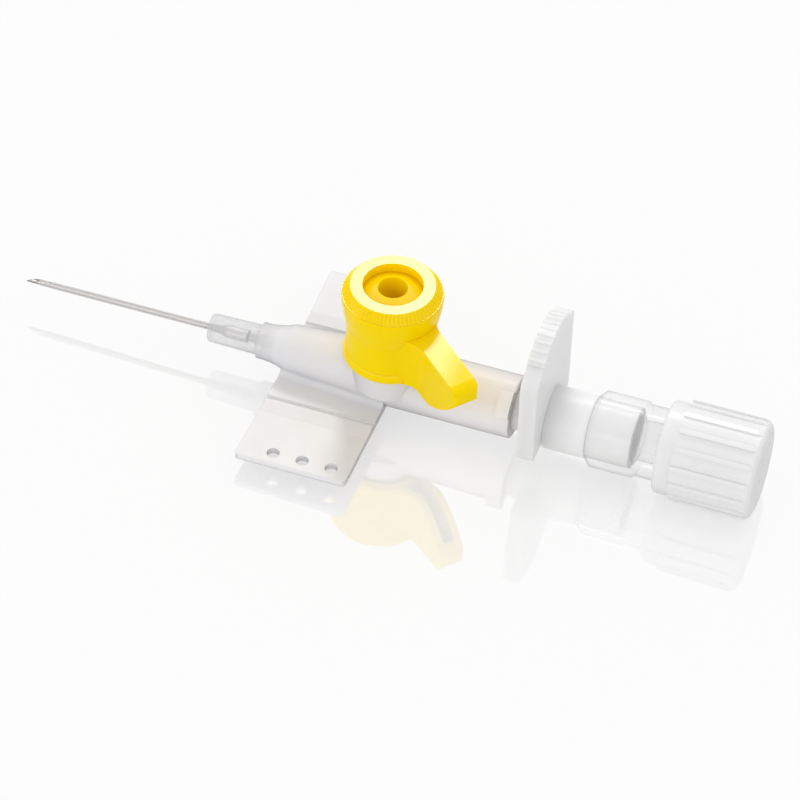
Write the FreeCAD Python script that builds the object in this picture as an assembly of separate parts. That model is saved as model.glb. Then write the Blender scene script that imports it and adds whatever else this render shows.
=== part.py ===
import FreeCAD, Part
import math
import os

# Winged over-the-needle cannula with a capped injection port, in millimetres.
# The working axes lie on the needle's axis, with x = 0 under the middle of the
# port, +X towards the rear and +Z up. The finished pieces are moved so that the
# origin is on the table, under the middle of the whole length.

# Catheter hub: nose, sleeve, conical body and rear socket
nose_front_x = -18.0
nose_length = 5.1
nose_front_r = 1.38
nose_rear_r = 1.46
nose_edge = 0.35
sleeve_length = 2.5
sleeve_front_r = 1.76
sleeve_rear_r = 2.12
sleeve_bow = 0.12
shoulder_r = 2.32
shoulder_length = 0.6
body_full_x = 0.5
body_r = 3.03
hub_rear_x = 12.6
hub_edge = 0.2
valve_seat_front_x = -4.4
funnel_r = 1.45
bond_gap = 0.01
stack_gap = 0.05

# Needle, ground to a lancet point that looks up
needle_od = 0.50
needle_bore = 0.28
needle_proud = 1.5
bevel_angle = 17.0
side_grind_turn = 38.0
side_grind_angle = 24.0

# Catheter tube, tapered at its tip and flared at its root
tube_od = 0.70
tube_wall = 0.08
tube_free_length = 17.5
tube_tip_taper = 1.6
tube_lip = 0.02
flare_inset = 0.9
flare_length = 0.8
flare_rise = 0.25

# Metal bush that pins the flared tube into the nose
bush_length = 2.9
bush_wall = 0.26
bush_lead = 0.13

# Six percent luer taper, shared by every conical fitting
luer_mouth_r = 2.145
luer_slope = 0.03
luer_depth = 7.5
luer_gap = 0.03

# Ears of the female fittings
ear_r = 3.62
ear_length = 1.3
ear_width = 2.6
ear_turn = 45.0
ear_sink = 0.4

# Wings
wing_front_x = -10.2
wing_rear_x = 0.4
wing_half_span = 13.4
wing_sweep = 0.45
wing_rear_sweep = 0.18
wing_top_z = -1.8
wing_thick = 0.65
wing_root_rise = 0.16
wing_groove_y = 5.3
wing_groove_r = 0.22
wing_ramp_y = 7.2
wing_corner_r = 0.6
wing_root_fillet = 0.5

# Three holes near the outer edge of each wing
hole_count = 3
hole_r = 0.6
hole_pitch = 2.85
hole_edge_back = 1.45
hole_middle_x = -4.4

# Port tower
tower_top_z = 9.2
tower_r = 3.35
tower_foot_r = 3.75
tower_foot_height = 1.0
tower_edge = 0.2

# Silicone sleeve that closes the port from inside
valve_length = 8.4
valve_wall = 0.5
valve_gap = 0.02

# Port cap: knurled crown, flared rim, skirt and spigot
cap_head_height = 2.3
cap_straddle = 0.18
cap_body_gap = 0.1
cap_crown_r = 4.02
cap_ridge_r = 4.72
cap_band_height = 0.9
cap_teeth = 72
cap_tooth_depth = 0.1
cap_rim_r = 4.78
cap_rim_drop = 1.25
cap_flare_height = 3.25
cap_flare_bow = 0.07
cap_skirt_r = 4.22
cap_skirt_wall = 0.62
cap_bead_r = 4.5
cap_bead_edge = 0.2
cap_bead_height = 1.0
cap_recess_r = 2.85
cap_recess_depth = 1.05
cap_boss_rise = 0.65
cap_hole_r = 1.38
cap_spigot_length = 3.9
cap_spigot_floor = 0.6
cap_spigot_draft = 0.25

# Lever on the cap, one piece with it
lever_turn = -40.8
lever_offset = 1.05
lever_width = 2.55
lever_root_fillet = 3.0
lever_root_drop = 3.08
lever_crease_reach = 10.92
lever_crease_drop = 3.71
lever_tip_reach = 11.88
lever_tip_drop = 5.4
lever_tip_corner = 0.45
lever_inner_corner = 0.11
lever_heel_reach = 5.4
lever_belly_front = 6.2
lever_belly_reach = 7.3
lever_belly_dip = 0.45
lever_throat_bow = 0.42
lever_nose_bow = 0.45
lever_wall = 0.7

# Needle hub: taper, thumb plate and rear tube
taper_floor_gap = 0.2
needle_seat_length = 5.2
needle_cone_length = 0.8
needle_hub_neck_r = 2.6
needle_hub_neck_cone = 1.2
needle_hub_bore_r = 1.3
plate_gap = 1.7
plate_thick = 1.6
plate_half_width = 5.7
plate_bottom_z = -1.0
plate_foot_r = 0.7
plate_arch_half = 3.9
plate_arch_z = 9.8
plate_crown = 1.2
plate_step = 0.15
plate_shoulder_turn = 30.0
plate_shoulder_r = 0.9
plate_rib_count = 9
plate_rib_pitch = 0.85
plate_rib_r = 0.25
plate_rib_proud = 0.08
rear_tube_length = 4.1
rear_tube_r = 3.05
rear_tube_wall = 0.85
rear_spigot_r = 2.9
rear_spigot_length = 4.2

# Clear flash chamber with a female fitting at its rear
chamber_length = 12.3
chamber_r = 3.68
chamber_shoulder = 0.6
chamber_body_length = 4.6
chamber_neck_r = 3.45
chamber_step_length = 0.25
chamber_wall_length = 0.5

# Ribbed screw plug with its vent filter
plug_cavity_depth = 6.1
plug_floor_gap = 0.7
plug_floor_thick = 3.3
plug_collar_length = 1.6
plug_collar_r = 4.42
plug_front_edge = 0.2
plug_r = 4.62
plug_rib_proud = 0.18
plug_rib_count = 16
plug_rib_width = 0.5
plug_rear_round = 0.9
plug_ear_gap = 0.2
plug_spigot_length = 6.0
plug_bore_r = 1.0
plug_vent_r = 0.25
filter_length = 2.0
filter_inset = 0.3

# Worked out from the sizes above
needle_r = needle_od / 2
tube_r = tube_od / 2
tube_bore_r = tube_r - tube_wall
tube_tip_x = nose_front_x - tube_free_length
needle_tip_x = tube_tip_x - needle_proud
flare_front_x = nose_front_x + flare_inset
flare_rear_x = flare_front_x + flare_length
seat_r = tube_r + flare_rise + bond_gap
bush_nose_r = tube_bore_r + flare_rise - bond_gap
bush_bore_r = bush_nose_r - bush_wall
bush_rear_x = flare_front_x + bush_length
nose_step_x = nose_front_x + nose_length
sleeve_end_x = nose_step_x + sleeve_length
socket_floor_x = hub_rear_x - luer_depth
luer_floor_r = luer_mouth_r - luer_slope * luer_depth
taper_front_x = socket_floor_x + taper_floor_gap
needle_seat_end_x = taper_front_x + needle_seat_length
wing_bottom_z = wing_top_z - wing_thick
hole_row_y = wing_half_span - hole_edge_back
cap_top_z = tower_top_z + cap_head_height
cap_bottom_z = body_r - cap_straddle
cap_ridge_z = cap_top_z - cap_band_height
cap_rim_z = cap_top_z - cap_rim_drop
cap_floor_z = cap_top_z - cap_recess_depth
cap_spigot_end_z = tower_top_z - cap_spigot_length
lever_root_z = cap_top_z - lever_root_drop
lever_crease_z = cap_top_z - lever_crease_drop
lever_tip_z = cap_top_z - lever_tip_drop
lever_belly_z = cap_bottom_z - lever_belly_dip
plate_front_x = hub_rear_x + plate_gap
plate_rear_x = plate_front_x + plate_thick
chamber_front_x = plate_rear_x + rear_tube_length
rear_spigot_end_x = chamber_front_x + rear_spigot_length
chamber_rear_x = chamber_front_x + chamber_length
chamber_body_end_x = chamber_front_x + chamber_body_length
plug_floor_x = chamber_rear_x + plug_floor_gap
plug_front_x = plug_floor_x - plug_cavity_depth
plug_rear_x = plug_floor_x + plug_floor_thick
plug_cavity_r = ear_r + plug_ear_gap
plug_full_r = plug_r + plug_rib_proud
move_x = -(needle_tip_x + plug_rear_x) / 2
move_z = plug_full_r

# Far enough for a cutting tool to run clear of a face
clear = 1.0

origin = FreeCAD.Vector(0, 0, 0)
along = FreeCAD.Vector(1, 0, 0)
across = FreeCAD.Vector(0, 1, 0)
up = FreeCAD.Vector(0, 0, 1)


def luer_r(distance_in):
    # Radius of a female taper this far inside its mouth
    return luer_mouth_r - luer_slope * distance_in


def outline(start, *moves):
    # Closed face in the XZ plane; a move is an end point, or the middle and end of an arc
    def point(pair):
        return FreeCAD.Vector(pair[0], 0, pair[1])

    edges = []
    here = start
    for move in moves + (start,):
        if isinstance(move[0], tuple):
            middle, there = move
            edges.append(Part.Arc(point(here), point(middle), point(there)).toShape())
        else:
            there = move
            if math.dist(here, there) < 1e-7:
                continue
            edges.append(Part.LineSegment(point(here), point(there)).toShape())
        here = there
    return Part.Face(Part.Wire(edges))


def corner_arc(centre, radius, start_deg, end_deg):
    # Middle and end points of a round corner, for outline()
    def at(angle):
        turn = math.radians(angle)
        return (centre[0] + radius * math.cos(turn), centre[1] + radius * math.sin(turn))

    return (at((start_deg + end_deg) / 2), at(end_deg))


def bowed(start, end, bow):
    # Middle and end points of a shallow arc that stands this far left of its chord
    run = end[0] - start[0]
    rise = end[1] - start[1]
    length = math.hypot(run, rise)
    middle_x = (start[0] + end[0]) / 2 - bow * rise / length
    middle_z = (start[1] + end[1]) / 2 + bow * run / length
    return ((middle_x, middle_z), end)


def turned_x(start, *moves):
    # Revolves an outline of (x, radius) points about the needle's axis
    return outline(start, *moves).revolve(origin, along, 360)


def turned_z(start, *moves):
    # Revolves an outline of (radius, z) points about the port's axis
    return outline(start, *moves).revolve(origin, up, 360)


def rod_x(radius, from_x, to_x):
    return Part.makeCylinder(radius, to_x - from_x, FreeCAD.Vector(from_x, 0, 0), along)


def block(low, high):
    size = [b - a for a, b in zip(low, high)]
    return Part.makeBox(size[0], size[1], size[2], FreeCAD.Vector(*low))


def ears(rear_x, reach_r, core_r):
    # Two opposite ears of a female fitting, with rounded tops
    half = ear_width / 2
    disc = rod_x(reach_r, rear_x - ear_length, rear_x)
    bar = block((rear_x - ear_length, -half, -reach_r), (rear_x, half, reach_r))
    pair = disc.common(bar).cut(rod_x(core_r, rear_x - ear_length, rear_x))
    return pair.rotated(origin, along, ear_turn)


def grind(turn, angle):
    # Half space above a plane that rises rearwards from the needle's point
    reach = abs(needle_tip_x)
    cutter = block((-reach, -clear, 0), (reach, clear, reach))
    cutter.rotate(origin, across, -angle)
    point_depth = needle_r * math.cos(math.radians(turn))
    cutter.translate(FreeCAD.Vector(needle_tip_x, 0, -point_depth))
    return cutter.rotated(origin, along, turn)


def make_needle():
    tube = rod_x(needle_r, needle_tip_x, needle_seat_end_x)
    tube = tube.cut(rod_x(needle_bore / 2, needle_tip_x - clear, needle_seat_end_x + clear))
    tube = tube.cut(grind(0, bevel_angle))
    for side in (-1, 1):
        tube = tube.cut(grind(side * side_grind_turn, side_grind_angle))
    return tube


def make_catheter_tube():
    return turned_x(
        (tube_tip_x, tube_bore_r),
        (tube_tip_x, tube_bore_r + tube_lip),
        (tube_tip_x + tube_tip_taper, tube_r),
        (flare_front_x, tube_r),
        (flare_rear_x, tube_r + flare_rise),
        (flare_rear_x, tube_bore_r + flare_rise),
        (flare_front_x, tube_bore_r),
    )


def make_catheter_bush():
    # Its conical nose fits inside the flare and its body fills the seat behind
    nose_x = flare_front_x + stack_gap
    body_x = flare_rear_x + bond_gap
    return turned_x(
        (nose_x, bush_bore_r),
        (nose_x, tube_bore_r),
        (flare_rear_x, bush_nose_r),
        (body_x, bush_nose_r),
        (body_x, seat_r - bond_gap),
        (bush_rear_x, seat_r - bond_gap),
        (bush_rear_x, bush_bore_r + bush_lead),
        (bush_rear_x - bush_lead, bush_bore_r),
    )


def hub_skin():
    # Outside of the catheter hub, from the round nose to the rear face
    nose_corner = (nose_front_x + nose_edge, nose_front_r - nose_edge)
    rear_corner = (hub_rear_x - hub_edge, body_r - hub_edge)
    sleeve_front = (nose_step_x, sleeve_front_r)
    sleeve_rear = (sleeve_end_x, sleeve_rear_r)
    return turned_x(
        (nose_front_x, 0),
        (nose_front_x, nose_corner[1]),
        corner_arc(nose_corner, nose_edge, 180, 90),
        (nose_step_x, nose_rear_r),
        sleeve_front,
        bowed(sleeve_front, sleeve_rear, -sleeve_bow),
        (sleeve_end_x + shoulder_length, shoulder_r),
        (body_full_x, body_r),
        (rear_corner[0], body_r),
        corner_arc(rear_corner, hub_edge, 90, 0),
        (hub_rear_x, 0),
    )


def hub_hollow():
    # Inside of the catheter hub: tube bore, bush seat, funnel, valve seat and socket
    return turned_x(
        (nose_front_x - clear, 0),
        (nose_front_x - clear, tube_r + bond_gap),
        (flare_front_x, tube_r + bond_gap),
        (flare_rear_x, seat_r),
        (bush_rear_x, seat_r),
        (bush_rear_x, bush_bore_r + bush_lead),
        (valve_seat_front_x, funnel_r),
        (valve_seat_front_x, luer_floor_r),
        (socket_floor_x, luer_floor_r),
        (hub_rear_x, luer_mouth_r),
        (hub_rear_x + clear, luer_mouth_r),
        (hub_rear_x + clear, 0),
    )


def wing_section():
    # Cross-section of both wings, looking along the needle: a ramp, a groove and round edges
    root_z = wing_top_z + wing_root_rise
    half = wing_half_span
    edge = wing_thick / 2
    mid_z = wing_top_z - edge
    near = wing_groove_y - wing_groove_r
    far = wing_groove_y + wing_groove_r
    right = outline(
        (0, wing_bottom_z),
        (half - edge, wing_bottom_z),
        corner_arc((half - edge, mid_z), edge, -90, 90),
        (wing_ramp_y, wing_top_z),
        (far, root_z),
        ((wing_groove_y, root_z - wing_groove_r), (near, root_z)),
        (0, root_z),
    )
    right.rotate(origin, up, 90)
    left = right.mirror(origin, across)
    length = wing_rear_x - wing_front_x + 2 * clear
    shift = FreeCAD.Vector(wing_front_x - clear, 0, 0)
    solids = []
    for face in (right, left):
        solid = face.extrude(along * length)
        solid.translate(shift)
        solids.append(solid)
    return solids[0].fuse(solids[1])


def wing_plan():
    # Plan of both wings with swept front edges and round outer corners
    half = wing_half_span
    corners = [
        (wing_front_x, 0),
        (wing_front_x - wing_sweep, half),
        (wing_rear_x - wing_rear_sweep, half),
        (wing_rear_x, 0),
        (wing_rear_x - wing_rear_sweep, -half),
        (wing_front_x - wing_sweep, -half),
    ]
    points = [FreeCAD.Vector(x, y, wing_bottom_z - clear) for x, y in corners]
    wire = Part.makePolygon(points + points[:1])
    slab = Part.Face(wire).extrude(up * (wing_thick + wing_root_rise + 2 * clear))
    uprights = []
    for edge in slab.Edges:
        vertical = abs(edge.Vertexes[0].Z - edge.Vertexes[-1].Z) > wing_thick
        if vertical and abs(edge.Vertexes[0].Y) > wing_ramp_y:
            uprights.append(edge)
    return slab.makeFillet(wing_corner_r, uprights)


def wing_holes():
    tools = []
    for side in (-1, 1):
        for index in range(hole_count):
            x = hole_middle_x + (index - (hole_count - 1) / 2) * hole_pitch
            foot = FreeCAD.Vector(x, side * hole_row_y, wing_bottom_z - clear)
            tools.append(Part.makeCylinder(hole_r, wing_thick + 2 * clear, foot, up))
    return tools


def root_edges(shape):
    # Edges along which the top of the wings meets the body
    root_z = wing_top_z + wing_root_rise
    found = []
    for edge in shape.Edges:
        box = edge.BoundBox
        level = abs(box.ZMin - root_z) < bond_gap and abs(box.ZMax - root_z) < bond_gap
        if level and max(abs(box.YMin), abs(box.YMax)) < body_r:
            found.append(edge)
    return found


def make_catheter_hub():
    wings = wing_section().common(wing_plan())
    for tool in wing_holes():
        wings = wings.cut(tool)
    body = hub_skin().fuse(wings).removeSplitter()
    body = body.makeFillet(wing_root_fillet, root_edges(body))
    foot = turned_z(
        (0, 0),
        (tower_foot_r, 0),
        (tower_foot_r, body_r - tower_foot_height),
        (tower_r, body_r - bond_gap),
        (tower_r, tower_top_z - tower_edge),
        (tower_r - tower_edge, tower_top_z),
        (0, tower_top_z),
    )
    hub = body.fuse([foot, ears(hub_rear_x, ear_r, body_r - ear_sink)])
    port = Part.makeCone(luer_r(tower_top_z), luer_mouth_r, tower_top_z, origin, up)
    hub = hub.cut(hub_hollow()).cut(port)
    return hub.removeSplitter()


def make_port_valve():
    middle = (socket_floor_x + valve_seat_front_x) / 2
    front_x = middle - valve_length / 2
    rear_x = middle + valve_length / 2
    outer_r = luer_floor_r - valve_gap
    return rod_x(outer_r, front_x, rear_x).cut(rod_x(outer_r - valve_wall, front_x, rear_x))


def star(outer_r, z):
    # Closed wire with one point and one notch for each tooth of the knurling
    points = []
    for index in range(cap_teeth * 2):
        angle = math.pi * index / cap_teeth
        radius = outer_r - cap_tooth_depth * (index % 2)
        points.append(FreeCAD.Vector(radius * math.cos(angle), radius * math.sin(angle), z))
    return Part.makePolygon(points + points[:1])


def cap_skin():
    # Outside of the cap: beaded skirt, flared rim with a ridge, and the knurled crown
    bead_top = (cap_skirt_r, cap_bottom_z + cap_bead_height)
    bead_middle = (cap_bead_r, cap_bottom_z + cap_bead_height / 2)
    flare_foot = (cap_skirt_r, cap_rim_z - cap_flare_height)
    rim = (cap_rim_r, cap_rim_z)
    core = turned_z(
        (0, cap_bottom_z),
        (cap_bead_r - cap_bead_edge, cap_bottom_z),
        (bead_middle, bead_top),
        flare_foot,
        bowed(flare_foot, rim, -cap_flare_bow),
        (cap_ridge_r, cap_ridge_z),
        (cap_ridge_r - cap_tooth_depth - bond_gap, cap_ridge_z),
        (cap_crown_r - cap_tooth_depth - bond_gap, cap_top_z),
        (0, cap_top_z),
    )
    wires = [star(cap_ridge_r, cap_ridge_z), star(cap_crown_r, cap_top_z)]
    return core.fuse(Part.makeLoft(wires, True, True))


def lever_plan(inset, tip):
    # Plan of the lever: a bar with a round tip, flared where it meets the skirt
    fillet = lever_root_fillet + inset
    low = lever_offset - lever_width / 2 + inset
    high = lever_offset + lever_width / 2 - inset
    bar = block((0, low, 0), (tip, high, cap_top_z))
    tip_edges = [edge for edge in bar.Edges if min(v.X for v in edge.Vertexes) > tip / 2]
    uprights = [edge for edge in tip_edges if edge.Length > cap_top_z / 2]
    plan = bar.makeFillet(max(lever_tip_corner - inset, lever_inner_corner), uprights)
    span = cap_skirt_r + lever_root_fillet
    for side_y, centre_y in ((low, low - fillet), (high, high + fillet)):
        centre_x = math.sqrt(span ** 2 - centre_y ** 2)
        touch_y = centre_y * cap_skirt_r / span
        root = block((0, min(side_y, touch_y), 0), (centre_x, max(side_y, touch_y), cap_top_z))
        centre = FreeCAD.Vector(centre_x, centre_y, 0)
        plan = plan.fuse(root.cut(Part.makeCylinder(fillet, cap_top_z, centre, up)))
    return plan


def lever_block(inset):
    # Lever cut from its side view and its plan; inset gives the hollow under it
    tip = lever_tip_reach - inset
    belly = (lever_belly_reach, lever_belly_z - inset)
    nose = (tip, lever_tip_z - inset)
    crease = (lever_crease_reach - inset, lever_crease_z - inset)
    side = outline(
        (0, cap_bottom_z - inset),
        (lever_heel_reach, cap_bottom_z - inset),
        (lever_belly_front, lever_belly_z - inset),
        belly,
        bowed(belly, nose, -lever_throat_bow),
        bowed(nose, crease, -lever_nose_bow),
        (cap_skirt_r, lever_root_z - inset),
        (0, lever_root_z - inset),
    )
    side.translate(across * (-cap_rim_r))
    slab = side.extrude(across * (2 * cap_rim_r))
    return slab.common(lever_plan(inset, tip))


def make_port_cap():
    cap = cap_skin().fuse(lever_block(0))
    inner_r = cap_skirt_r - cap_skirt_wall
    hollow = turned_z(
        (0, cap_bottom_z - clear),
        (inner_r, cap_bottom_z - clear),
        (inner_r, tower_top_z),
        (luer_r(0) - luer_gap, tower_top_z),
        (luer_r(cap_spigot_length) - luer_gap, cap_spigot_end_z),
        (0, cap_spigot_end_z),
    )
    spigot_floor_z = cap_spigot_end_z + cap_spigot_floor
    recess = turned_z(
        (0, cap_top_z + clear),
        (0, spigot_floor_z),
        (cap_hole_r - cap_spigot_draft, spigot_floor_z),
        (cap_hole_r, cap_floor_z + cap_boss_rise),
        (cap_recess_r, cap_floor_z),
        (cap_recess_r, cap_top_z + clear),
    )
    skirt_core = Part.makeCylinder(cap_skirt_r, cap_top_z, origin, up)
    lever_hollow = lever_block(lever_wall).cut(skirt_core)
    cap = cap.cut(lever_hollow).cut(hollow).cut(recess)
    cap.rotate(origin, up, lever_turn)
    saddle = rod_x(body_r + cap_body_gap, -lever_tip_reach, lever_tip_reach)
    return cap.cut(saddle).removeSplitter()


def thumb_plate():
    # Upright plate across the needle hub: an arched top between two falling shoulders
    half = plate_half_width
    foot_y = half - plate_foot_r
    foot_z = plate_bottom_z + plate_foot_r
    slope = math.radians(plate_shoulder_turn)
    shoulder_y = half - plate_shoulder_r
    run = shoulder_y + plate_shoulder_r * math.sin(slope) - plate_arch_half
    step_z = plate_arch_z - plate_step
    shoulder_z = step_z - run * math.tan(slope) - plate_shoulder_r * math.cos(slope)
    turn = plate_shoulder_turn
    face = outline(
        (-foot_y, plate_bottom_z),
        (foot_y, plate_bottom_z),
        corner_arc((foot_y, foot_z), plate_foot_r, -90, 0),
        (half, shoulder_z),
        corner_arc((shoulder_y, shoulder_z), plate_shoulder_r, 0, 90 - turn),
        (plate_arch_half, step_z),
        (plate_arch_half, plate_arch_z),
        ((0, plate_arch_z + plate_crown), (-plate_arch_half, plate_arch_z)),
        (-plate_arch_half, step_z),
        (-shoulder_y - plate_shoulder_r * math.sin(slope), step_z - run * math.tan(slope)),
        corner_arc((-shoulder_y, shoulder_z), plate_shoulder_r, 90 + turn, 180),
        (-half, foot_z),
        corner_arc((-foot_y, foot_z), plate_foot_r, 180, 270),
    )
    face.rotate(origin, up, 90)
    face.translate(along * plate_front_x)
    plate = face.extrude(along * plate_thick)
    crown_r = (plate_arch_half ** 2 + plate_crown ** 2) / (2 * plate_crown)
    crown_z = plate_arch_z + plate_crown - crown_r
    ribs = []
    for index in range(plate_rib_count):
        y = (index - (plate_rib_count - 1) / 2) * plate_rib_pitch
        z = crown_z + math.sqrt(crown_r ** 2 - y ** 2) - plate_rib_r + plate_rib_proud
        foot = FreeCAD.Vector(plate_front_x, y, z)
        ribs.append(Part.makeCylinder(plate_rib_r, plate_thick, foot, along))
    return plate.fuse(ribs)


def make_needle_hub():
    # Male taper, neck, plate, rear tube and the spigot that carries the chamber
    cone_front_x = plate_front_x - needle_hub_neck_cone
    core = turned_x(
        (taper_front_x, 0),
        (taper_front_x, luer_r(hub_rear_x - taper_front_x) - luer_gap),
        (hub_rear_x, luer_r(0) - luer_gap),
        (cone_front_x, luer_r(0) - luer_gap),
        (plate_front_x, needle_hub_neck_r),
        (plate_rear_x, needle_hub_neck_r),
        (plate_rear_x, rear_tube_r),
        (chamber_front_x, rear_tube_r),
        (chamber_front_x, rear_spigot_r),
        (rear_spigot_end_x, rear_spigot_r),
        (rear_spigot_end_x, 0),
    )
    bore_r = rear_tube_r - rear_tube_wall
    hollow = turned_x(
        (taper_front_x - clear, 0),
        (taper_front_x - clear, needle_r + bond_gap),
        (needle_seat_end_x, needle_r + bond_gap),
        (needle_seat_end_x + needle_cone_length, needle_hub_bore_r),
        (plate_front_x, needle_hub_bore_r),
        (plate_rear_x, bore_r),
        (rear_spigot_end_x + clear, bore_r),
        (rear_spigot_end_x + clear, 0),
    )
    return core.fuse(thumb_plate()).cut(hollow).removeSplitter()


def make_flash_chamber():
    socket_end_x = rear_spigot_end_x + stack_gap
    luer_floor_x = chamber_rear_x - luer_depth
    skin = turned_x(
        (chamber_front_x, 0),
        (chamber_front_x, rear_tube_r),
        (chamber_front_x + chamber_shoulder, chamber_r),
        (chamber_body_end_x, chamber_r),
        (chamber_body_end_x + chamber_step_length, chamber_neck_r),
        (chamber_rear_x, chamber_neck_r),
        (chamber_rear_x, 0),
    )
    hollow = turned_x(
        (chamber_front_x - clear, 0),
        (chamber_front_x - clear, rear_spigot_r + bond_gap),
        (socket_end_x, rear_spigot_r + bond_gap),
        (socket_end_x + chamber_wall_length, luer_floor_r),
        (luer_floor_x, luer_floor_r),
        (chamber_rear_x, luer_mouth_r),
        (chamber_rear_x + clear, luer_mouth_r),
        (chamber_rear_x + clear, 0),
    )
    pair = ears(chamber_rear_x, ear_r, chamber_neck_r - ear_sink)
    return skin.fuse(pair).cut(hollow).removeSplitter()


def plug_ribs():
    # Narrow grip ribs round the plug, from its collar to its rear end
    collar_end_x = plug_front_x + plug_collar_length
    half = plug_rib_width / 2
    root_r = plug_r - plug_rib_proud
    ribs = []
    for index in range(plug_rib_count):
        rib = block((collar_end_x, -half, root_r), (plug_rear_x, half, plug_full_r + clear))
        ribs.append(rib.rotated(origin, along, index * 360 / plug_rib_count))
    return ribs


def make_luer_plug():
    collar_end_x = plug_front_x + plug_collar_length
    round_centre = (plug_rear_x - plug_rear_round, plug_full_r - plug_rear_round)
    spigot_front_x = plug_floor_x - plug_spigot_length
    core = turned_x(
        (plug_front_x, 0),
        (plug_front_x, plug_collar_r - plug_front_edge),
        (plug_front_x + plug_front_edge, plug_collar_r),
        (collar_end_x, plug_collar_r),
        (collar_end_x, plug_r),
        (plug_rear_x, plug_r),
        (plug_rear_x, 0),
    )
    envelope = turned_x(
        (plug_front_x, 0),
        (plug_front_x, plug_full_r),
        (round_centre[0], plug_full_r),
        corner_arc(round_centre, plug_rear_round, 90, 0),
        (plug_rear_x, 0),
    )
    root_r = luer_r(0) - luer_gap
    tip_r = luer_r(chamber_rear_x - spigot_front_x) - luer_gap
    cavity = turned_x(
        (plug_front_x - clear, plug_cavity_r),
        (plug_floor_x, plug_cavity_r),
        (plug_floor_x, root_r),
        (chamber_rear_x, root_r),
        (spigot_front_x, tip_r),
        (spigot_front_x, 0),
        (plug_front_x - clear, 0),
    )
    bore = rod_x(plug_bore_r, spigot_front_x - clear, plug_floor_x)
    vent_foot = FreeCAD.Vector((chamber_rear_x + plug_floor_x) / 2, -plug_cavity_r, 0)
    vent = Part.makeCylinder(plug_vent_r, 2 * plug_cavity_r, vent_foot, across)
    plug = core.fuse(plug_ribs()).common(envelope).cut(cavity).cut(bore).cut(vent)
    return plug.removeSplitter()


def make_vent_filter():
    front_x = plug_floor_x - plug_spigot_length + filter_inset
    return rod_x(plug_bore_r - bond_gap, front_x, front_x + filter_length)


makers = {
    "needle": make_needle,
    "catheter_tube": make_catheter_tube,
    "catheter_bush": make_catheter_bush,
    "catheter_hub": make_catheter_hub,
    "port_valve": make_port_valve,
    "port_cap": make_port_cap,
    "needle_hub": make_needle_hub,
    "flash_chamber": make_flash_chamber,
    "luer_plug": make_luer_plug,
    "vent_filter": make_vent_filter,
}

os.makedirs("parts", exist_ok=True)
for name, make in makers.items():
    shape = make()
    shape.translate(FreeCAD.Vector(move_x, 0, move_z))
    shape.exportStep(os.path.join("parts", name + ".step"))
    print(name, len(shape.Solids), round(shape.Volume, 3), shape.isValid())
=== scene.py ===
import bpy
import math
from mathutils import Matrix, Vector

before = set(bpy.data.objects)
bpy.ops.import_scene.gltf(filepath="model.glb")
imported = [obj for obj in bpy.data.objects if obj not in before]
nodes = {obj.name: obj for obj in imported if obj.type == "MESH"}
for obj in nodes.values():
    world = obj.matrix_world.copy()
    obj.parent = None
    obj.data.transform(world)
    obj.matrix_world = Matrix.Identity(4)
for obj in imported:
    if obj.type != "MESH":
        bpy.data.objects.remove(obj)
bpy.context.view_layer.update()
mm = 0.001
print("frame loaded")


def srgb(red, green, blue):  # colour as it looks on the screen, 0 to 255
    shades = []
    for value in (red, green, blue):
        part = value / 255
        shades.append(part / 12.92 if part <= 0.04045 else ((part + 0.055) / 1.055) ** 2.4)
    return (*shades, 1.0)


def feed(tree, value, socket):  # a link, a screen colour or a plain number
    if isinstance(value, bpy.types.NodeSocket):
        tree.links.new(value, socket)
    elif isinstance(value, tuple):
        socket.default_value = srgb(*value)
    else:
        socket.default_value = value


def addMath(tree, operation, first, second):
    step = tree.nodes.new("ShaderNodeMath")
    step.operation = operation
    feed(tree, first, step.inputs[0])
    feed(tree, second, step.inputs[1])
    return step.outputs[0]


def addTint(tree, share, first, second):  # from the first colour to the second
    tint = tree.nodes.new("ShaderNodeMix")
    tint.data_type = "RGBA"
    feed(tree, share, tint.inputs["Factor"])
    feed(tree, first, tint.inputs["A"])
    feed(tree, second, tint.inputs["B"])
    return tint.outputs["Result"]


def addRange(tree, value, start, end, low=0.0, high=1.0):  # start to end becomes low to high
    scale = tree.nodes.new("ShaderNodeMapRange")
    feed(tree, value, scale.inputs["Value"])
    feed(tree, start, scale.inputs["From Min"])
    feed(tree, end, scale.inputs["From Max"])
    feed(tree, low, scale.inputs["To Min"])
    feed(tree, high, scale.inputs["To Max"])
    return scale.outputs["Result"]


def addNoise(tree, place, scale, detail):
    noise = tree.nodes.new("ShaderNodeTexNoise")
    noise.inputs["Scale"].default_value = scale
    noise.inputs["Detail"].default_value = detail
    tree.links.new(place, noise.inputs["Vector"])
    return noise.outputs["Fac"]


def splitPlace(tree, kind):  # the parts of a texture coordinate
    place = tree.nodes.new("ShaderNodeTexCoord")
    split = tree.nodes.new("ShaderNodeSeparateXYZ")
    tree.links.new(place.outputs[kind], split.inputs["Vector"])
    return split.outputs


# Camera at the photograph's viewing angle
view = {
    "elevation": 44.84,  # degrees above the table
    "turn": 17.54,  # degrees round from the near side
    "roll": 0.0381,  # radians
    "lens": 180.15,
    "distance": 373.9,  # mm
    "target": (2.38, -2.97, 4.80),  # mm
    "nearest": 0.01,  # metres
    "furthest": 20,
}


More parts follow.
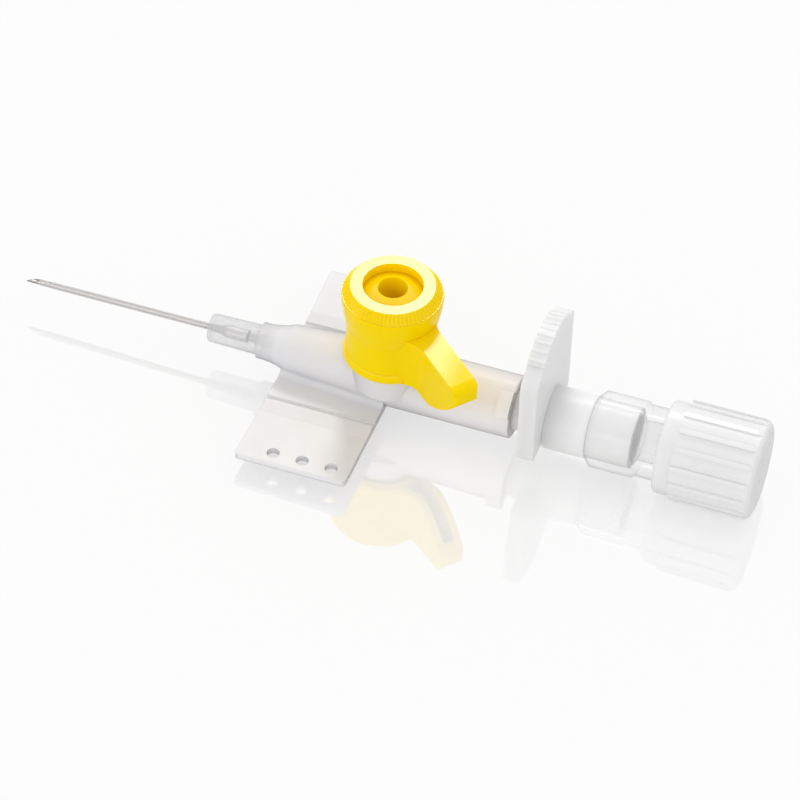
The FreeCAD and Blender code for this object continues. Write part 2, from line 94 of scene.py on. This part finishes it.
def makeCamera():
    turn = math.radians(view["turn"])
    rise = math.radians(view["elevation"])
    look = Vector((-math.sin(turn) * math.cos(rise),
                   math.cos(turn) * math.cos(rise),
                   -math.sin(rise)))
    right = Vector((math.cos(turn), math.sin(turn), 0))
    top = right.cross(look)
    rolledRight = right * math.cos(view["roll"]) + top * math.sin(view["roll"])
    rolledTop = top * math.cos(view["roll"]) - right * math.sin(view["roll"])
    data = bpy.data.cameras.new("camera")
    data.lens = view["lens"]
    data.clip_start = view["nearest"]
    data.clip_end = view["furthest"]
    camera = bpy.data.objects.new("camera", data)
    bpy.context.scene.collection.objects.link(camera)
    axes = Matrix((rolledRight, rolledTop, -look)).transposed()
    place = (Vector(view["target"]) - look * view["distance"]) * mm
    camera.matrix_world = Matrix.Translation(place) @ axes.to_4x4()
    bpy.context.scene.camera = camera


makeCamera()
print("camera set")


def seenShare(tree, other, seen):  # the second amount on rays that show the background
    rays = tree.nodes.new("ShaderNodeLightPath").outputs
    straight = addMath(tree, "MAXIMUM", rays["Is Camera Ray"], rays["Is Glossy Ray"])
    seenThrough = addMath(tree, "MAXIMUM", straight, rays["Is Transmission Ray"])
    return addRange(tree, seenThrough, 0.0, 1.0, other, seen)


# White surroundings, like a light tent that is brighter round its sides than overhead
tent = {
    "horizonLight": 1.0,
    "zenithLight": 0.74,
}


def makeWorld():
    world = bpy.data.worlds.new("studioWhite")
    bpy.context.scene.world = world
    world.use_nodes = True
    tree = world.node_tree
    tree.nodes.clear()
    background = tree.nodes.new("ShaderNodeBackground")
    background.inputs["Color"].default_value = (1, 1, 1, 1)
    height = splitPlace(tree, "Generated")["Z"]
    light = addRange(tree, height, 0.0, 1.0, tent["horizonLight"], tent["zenithLight"])
    tree.links.new(seenShare(tree, light, 1.0), background.inputs["Strength"])
    out = tree.nodes.new("ShaderNodeOutputWorld")
    tree.links.new(background.outputs[0], out.inputs["Surface"])


# A softbox behind and above, and a weak one in front: places and sizes in metres, power in watts
softboxes = [
    {"name": "backSoftbox", "place": (-0.105, 0.40, 0.46), "size": 0.15, "power": 1.0,
     "keptOff": ["needle"]},
    {"name": "frontSoftbox", "place": (-0.25, -0.55, 0.25), "size": 0.4, "power": 0.55,
     "keptOff": []},
]


def makeSoftboxes():
    for box in softboxes:
        # they light the object alone, so none shows in the floor
        lit = bpy.data.collections.new(box["name"] + "Lights")
        for name, piece in nodes.items():
            if name not in box["keptOff"]:
                lit.objects.link(piece)
        data = bpy.data.lights.new(box["name"], "AREA")
        data.shape = "DISK"
        data.size = box["size"]
        data.energy = box["power"]
        lamp = bpy.data.objects.new(box["name"], data)
        bpy.context.scene.collection.objects.link(lamp)
        lamp.light_linking.receiver_collection = lit
        lamp.location = box["place"]
        lamp.rotation_mode = "QUATERNION"
        lamp.rotation_quaternion = (-Vector(box["place"])).to_track_quat("-Z", "Y")


# Glossy white floor, which leans a little under the object
floorFinish = {
    "lean": 1.3,  # degrees
    "size": 3.0,  # metres
    "gap": 0.02,  # mm under the plug's foot
    "footHeight": 0.05,  # mm, the lowest part of the plug that counts as its foot
    "shine": 0.5,
    "blur": 0.0,
    "glow": 0.58,
    "white": 1.03,
}


def makeFloor():
    half = floorFinish["size"] / 2
    corners = [(-half, -half, 0), (half, -half, 0), (half, half, 0), (-half, half, 0)]
    mesh = bpy.data.meshes.new("floor")
    mesh.from_pydata(corners, [], [(0, 1, 2, 3)])
    floor = bpy.data.objects.new("floor", mesh)
    bpy.context.scene.collection.objects.link(floor)
    # it leans about the front end of the plug's lowest rib, where the plug touches it
    plugPoints = [point.co for point in nodes["luer_plug"].data.vertices]
    foot = min(place.x for place in plugPoints if place.z < floorFinish["footHeight"] * mm)
    pivot = Vector((foot, 0, -floorFinish["gap"] * mm))
    lean = Matrix.Rotation(math.radians(floorFinish["lean"]), 4, "Y")
    floor.matrix_world = Matrix.Translation(pivot) @ lean @ Matrix.Translation((-foot, 0, 0))
    material = bpy.data.materials.new("floorWhite")
    material.use_nodes = True
    tree = material.node_tree
    tree.nodes.clear()
    diffuse = tree.nodes.new("ShaderNodeBsdfDiffuse")
    diffuse.inputs["Color"].default_value = (1, 1, 1, 1)
    shine = tree.nodes.new("ShaderNodeBsdfGlossy")
    shine.inputs["Color"].default_value = (1, 1, 1, 1)
    shine.inputs["Roughness"].default_value = floorFinish["blur"]
    mix = tree.nodes.new("ShaderNodeMixShader")
    mix.inputs["Fac"].default_value = floorFinish["shine"]
    tree.links.new(diffuse.outputs[0], mix.inputs[1])
    tree.links.new(shine.outputs[0], mix.inputs[2])
    glow = tree.nodes.new("ShaderNodeEmission")
    glow.inputs["Strength"].default_value = floorFinish["white"]
    lit = tree.nodes.new("ShaderNodeMixShader")
    tree.links.new(seenShare(tree, 0.0, floorFinish["glow"]), lit.inputs["Fac"])
    tree.links.new(mix.outputs[0], lit.inputs[1])
    tree.links.new(glow.outputs[0], lit.inputs[2])
    out = tree.nodes.new("ShaderNodeOutputMaterial")
    tree.links.new(lit.outputs[0], out.inputs["Surface"])
    mesh.materials.append(material)


makeWorld()
makeSoftboxes()
makeFloor()
bpy.context.scene.view_settings.view_transform = "Standard"
print("studio ready")


def fadeAlong(tree, start, end, low, high):  # between two places along the needle, in mm
    return addRange(tree, splitPlace(tree, "Object")["X"], start * mm, end * mm, low, high)


# What every moulded plastic shares
moulding = {
    "cloudScale": 260,  # per metre, as the grain
    "cloudDetail": 3,
    "grainScale": 9000,
    "grainDetail": 2,
    "grainDepth": 0.01,  # mm
    "edgeSamples": 6,
    "edgeStart": 0.985,  # how alike the plain and the rounded normal are where an edge starts
    "edgeFull": 0.78,
    "edgeWidth": 0.12,  # mm, where a finish has none of its own
    "grain": 0.1,
    "rimPower": 4.0,
    "ior": 1.49,
    "glowDepth": 0.8,  # mm
}


def makeMouldSkin():  # faint clouds, fine grain, an uneven gloss and edges darkened as painted shade
    group = bpy.data.node_groups.new("mouldSkin", "ShaderNodeTree")
    face = group.interface
    for name in ("Colour", "Cloud Colour", "Painted Edge Shade"):
        face.new_socket(name, in_out="INPUT", socket_type="NodeSocketColor")
    for name in ("Cloudiness", "Roughness", "Unevenness", "Edge Width", "Cover"):
        face.new_socket(name, in_out="INPUT", socket_type="NodeSocketFloat")
    face.new_socket("Colour", in_out="OUTPUT", socket_type="NodeSocketColor")
    for name in ("Roughness", "Grain", "Cover"):
        face.new_socket(name, in_out="OUTPUT", socket_type="NodeSocketFloat")
    given = group.nodes.new("NodeGroupInput").outputs
    place = group.nodes.new("ShaderNodeTexCoord").outputs["Object"]
    clouds = addNoise(group, place, moulding["cloudScale"], moulding["cloudDetail"])
    cloudShare = addMath(group, "MULTIPLY", clouds, given["Cloudiness"])
    clouded = addTint(group, cloudShare, given["Colour"], given["Cloud Colour"])
    rounded = group.nodes.new("ShaderNodeBevel")
    rounded.samples = moulding["edgeSamples"]
    group.links.new(given["Edge Width"], rounded.inputs["Radius"])
    straight = group.nodes.new("ShaderNodeNewGeometry")
    alike = group.nodes.new("ShaderNodeVectorMath")
    alike.operation = "DOT_PRODUCT"
    group.links.new(rounded.outputs["Normal"], alike.inputs[0])
    group.links.new(straight.outputs["Normal"], alike.inputs[1])
    # painted shade: the colour darkens along edges and creases, where the rounded normal turns from
    # the plain one
    edge = addRange(group, alike.outputs["Value"], moulding["edgeStart"], moulding["edgeFull"])
    unevenness = addMath(group, "MULTIPLY", clouds, given["Unevenness"])
    result = group.nodes.new("NodeGroupOutput")
    outputs = {
        "Colour": addTint(group, edge, clouded, given["Painted Edge Shade"]),
        "Roughness": addMath(group, "ADD", unevenness, given["Roughness"]),
        "Grain": addNoise(group, place, moulding["grainScale"], moulding["grainDetail"]),
        "Cover": addMath(group, "MAXIMUM", edge, given["Cover"]),
    }
    for name, value in outputs.items():
        group.links.new(value, result.inputs[name])
    return group


mouldSkin = makeMouldSkin()


def rimOf(tree, power):  # how far a surface turns away, towards its outline, where shade and reflection are painted
    facing = tree.nodes.new("ShaderNodeLayerWeight")
    facing.inputs["Blend"].default_value = 0.5
    return addMath(tree, "POWER", facing.outputs["Facing"], power)


def makePlastic(name, finish):
    material = bpy.data.materials.new(name)
    material.use_nodes = True
    tree = material.node_tree
    skin = tree.nodes["Principled BSDF"]
    skin.inputs["IOR"].default_value = moulding["ior"]
    skin.inputs["Specular IOR Level"].default_value = finish["gloss"]
    skin.inputs["Specular Tint"].default_value = srgb(*finish.get("glossTint", (255, 255, 255)))
    skin.inputs["Subsurface Weight"].default_value = finish.get("glow", 0.0)
    skin.inputs["Subsurface Radius"].default_value = finish.get("glowReach", (1, 1, 1))
    skin.inputs["Subsurface Scale"].default_value = moulding["glowDepth"] * mm
    texture = tree.nodes.new("ShaderNodeGroup")
    texture.node_tree = mouldSkin
    texture.inputs["Colour"].default_value = srgb(*finish["colour"])
    texture.inputs["Cloud Colour"].default_value = srgb(*finish["cloud"])
    # the edge colour is painted shade along edges and creases
    texture.inputs["Painted Edge Shade"].default_value = srgb(*finish["edge"])
    texture.inputs["Cloudiness"].default_value = finish["cloudiness"]
    texture.inputs["Roughness"].default_value = finish["roughness"]
    texture.inputs["Unevenness"].default_value = finish["unevenness"]
    texture.inputs["Edge Width"].default_value = finish.get("edgeWidth", moulding["edgeWidth"]) * mm
    texture.inputs["Cover"].default_value = finish.get("cover", 1.0)
    if "clearFrom" in finish:  # the wall clears towards the front
        clearing = fadeAlong(tree, finish["clearTo"], finish["clearFrom"], finish["cover"], 1.0)
        tree.links.new(clearing, texture.inputs["Cover"])
    colour = texture.outputs["Colour"]
    cover = texture.outputs["Cover"]
    if "paintedLightColour" in finish:  # painted light: a stretch along the needle is painted lighter, to make up for shade and bounced colour there
        paintedLightShare = fadeAlong(tree, finish["paintedLightFrom"], finish["paintedLightTo"], 0.0, 1.0)
        colour = addTint(tree, paintedLightShare, colour, finish["paintedLightColour"])
    if "rimShade" in finish:  # painted shade: the colour darkens towards the outline; there clear plastic is also seen along its thicker wall and covers more
        rim = rimOf(tree, finish.get("rimPower", moulding["rimPower"]))
        colour = addTint(tree, rim, colour, finish["rimShade"])
        cover = addMath(tree, "MAXIMUM", rim, cover)
    if "topPolish" in finish:  # upper faces are polished, sides are matt, and thumbs dull the lever
        height = splitPlace(tree, "Normal")["Z"]
        upward = addRange(tree, height, finish["topFrom"], finish["topFull"],
                          0.0, finish["topPolish"])
        worn = fadeAlong(tree, finish["wornFrom"], finish["wornTo"], 1.0, finish["wornShare"])
        tree.links.new(addMath(tree, "MULTIPLY", upward, worn), skin.inputs["Coat Weight"])
        skin.inputs["Coat Roughness"].default_value = finish["polishRoughness"]
    if "cover" in finish:
        tree.links.new(cover, skin.inputs["Alpha"])
    tree.links.new(colour, skin.inputs["Base Color"])
    tree.links.new(texture.outputs["Roughness"], skin.inputs["Roughness"])
    bump = tree.nodes.new("ShaderNodeBump")
    bump.inputs["Strength"].default_value = finish.get("grain", moulding["grain"])
    bump.inputs["Distance"].default_value = moulding["grainDepth"] * mm
    tree.links.new(texture.outputs["Grain"], bump.inputs["Height"])
    tree.links.new(bump.outputs["Normal"], skin.inputs["Normal"])
    return material


def makeSteel(name, finish):
    material = bpy.data.materials.new(name)
    material.use_nodes = True
    tree = material.node_tree
    skin = tree.nodes["Principled BSDF"]
    skin.inputs["Metallic"].default_value = 1.0
    place = tree.nodes.new("ShaderNodeTexCoord")
    stretch = tree.nodes.new("ShaderNodeMapping")
    stretch.inputs["Scale"].default_value = finish["lineScale"]
    tree.links.new(place.outputs["Object"], stretch.inputs["Vector"])
    lines = addNoise(tree, stretch.outputs["Vector"], 1, 2)  # drawing lines along the tube
    dark = tuple(shade * finish["lineShade"] for shade in finish["colour"])
    tint = addTint(tree, lines, finish["colour"], dark)
    rim = rimOf(tree, finish["rimPower"])  # painted reflection: the colour darkens towards the outline, as if the thin tube mirrored a dark room
    tree.links.new(addTint(tree, rim, tint, finish["rim"]), skin.inputs["Base Color"])
    smooth = finish["roughness"] * (1 - finish["unevenness"])
    rough = finish["roughness"] * (1 + finish["unevenness"])
    tree.links.new(addRange(tree, lines, 0.0, 1.0, smooth, rough), skin.inputs["Roughness"])
    return material


def dress(node, material):
    mesh = nodes[node].data
    mesh.materials.clear()
    mesh.materials.append(material)


# Colours are as they look on the screen, places along the needle and widths in mm. Each edge colour
# is painted shade along edges and creases.
portCap = {
    "colour": (255, 221, 0), "cloud": (255, 213, 0), "edge": (228, 172, 0),
    "cloudiness": 0.5, "roughness": 0.24, "unevenness": 0.05, "edgeWidth": 0.1,
    "gloss": 0.07, "glossTint": (255, 252, 228), "glow": 0.3, "glowReach": (1.0, 0.7, 0.05),
    "topPolish": 0.9, "topFrom": 0.5, "topFull": 0.9, "polishRoughness": 0.24,
    "wornFrom": 6.5, "wornTo": 9.0, "wornShare": 0.1,
}
dress("port_cap", makePlastic("port_cap_finish", portCap))

catheterHub = {
    "colour": (231, 231, 233), "cloud": (227, 225, 228), "edge": (198, 198, 199),
    "cloudiness": 0.7, "roughness": 0.28, "unevenness": 0.08, "edgeWidth": 0.18,
    "gloss": 0.15, "glow": 0.3,
    "cover": 0.4, "clearFrom": -10.5, "clearTo": -14.0,
    "rimShade": (118, 118, 120), "rimPower": 3.0,
    # painted light: lighter and less yellow behind the cap, against the cap's bounced yellow
    "paintedLightFrom": 2.5, "paintedLightTo": 7.5, "paintedLightColour": (243, 240, 242),
}
dress("catheter_hub", makePlastic("catheter_hub_finish", catheterHub))

needleHub = {
    "colour": (230, 230, 230), "cloud": (226, 226, 226), "edge": (200, 200, 200),
    "cloudiness": 0.6, "roughness": 0.28, "unevenness": 0.08,
    "gloss": 0.25, "glow": 0.8, "rimShade": (232, 232, 232),
    # painted light: lighter where the clear chamber's walls shade the spigot
    "paintedLightFrom": 16.4, "paintedLightTo": 20.3, "paintedLightColour": (247, 247, 247),
}
dress("needle_hub", makePlastic("needle_hub_finish", needleHub))

flashChamber = {
    "colour": (255, 255, 255), "cloud": (251, 251, 251), "edge": (200, 200, 200),
    "cloudiness": 0.4, "roughness": 0.08, "unevenness": 0.04, "grain": 0.05,
    "gloss": 0.9, "cover": 0.2, "rimShade": (140, 140, 140), "rimPower": 3.0,
}
dress("flash_chamber", makePlastic("flash_chamber_finish", flashChamber))

luerPlug = {
    "colour": (238, 238, 238), "cloud": (234, 234, 234), "edge": (231, 231, 231),
    "cloudiness": 0.5, "roughness": 0.25, "unevenness": 0.08,
    "gloss": 0.35, "glow": 0.4, "rimShade": (190, 190, 190),
}
dress("luer_plug", makePlastic("luer_plug_finish", luerPlug))

catheterTube = {
    "colour": (238, 236, 234), "cloud": (234, 232, 230), "edge": (200, 200, 200),
    "cloudiness": 0.3, "roughness": 0.12, "unevenness": 0.05, "edgeWidth": 0.03,
    "gloss": 0.4, "cover": 0.3, "rimShade": (150, 150, 150),
}
dress("catheter_tube", makePlastic("catheter_tube_finish", catheterTube))

portValve = {
    "colour": (240, 234, 232), "cloud": (235, 228, 226), "edge": (215, 208, 206),
    "cloudiness": 0.5, "roughness": 0.4, "unevenness": 0.1, "gloss": 0.3, "glow": 0.3,
}
dress("port_valve", makePlastic("port_valve_finish", portValve))

ventFilter = {
    "colour": (240, 240, 237), "cloud": (226, 226, 222), "edge": (215, 215, 212),
    "cloudiness": 0.8, "roughness": 0.8, "unevenness": 0.1, "gloss": 0.2, "grain": 0.8,
}
dress("vent_filter", makePlastic("vent_filter_finish", ventFilter))
print("plastics on the nodes")

# the outline colour of the steel is a painted reflection along the tube's edges
needleTube = {
    "colour": (252, 248, 246), "rim": (12, 10, 10), "rimPower": 0.65,
    "roughness": 0.16, "unevenness": 0.3, "lineScale": (300, 20000, 20000), "lineShade": 0.86,
}
dress("needle", makeSteel("needleSteel", needleTube))

catheterBush = {
    "colour": (255, 253, 251), "rim": (244, 241, 240), "rimPower": 0.65,
    "roughness": 0.28, "unevenness": 0.3, "lineScale": (300, 20000, 20000), "lineShade": 0.86,
}
dress("catheter_bush", makeSteel("bushSteel", catheterBush))
print("steel on the nodes")
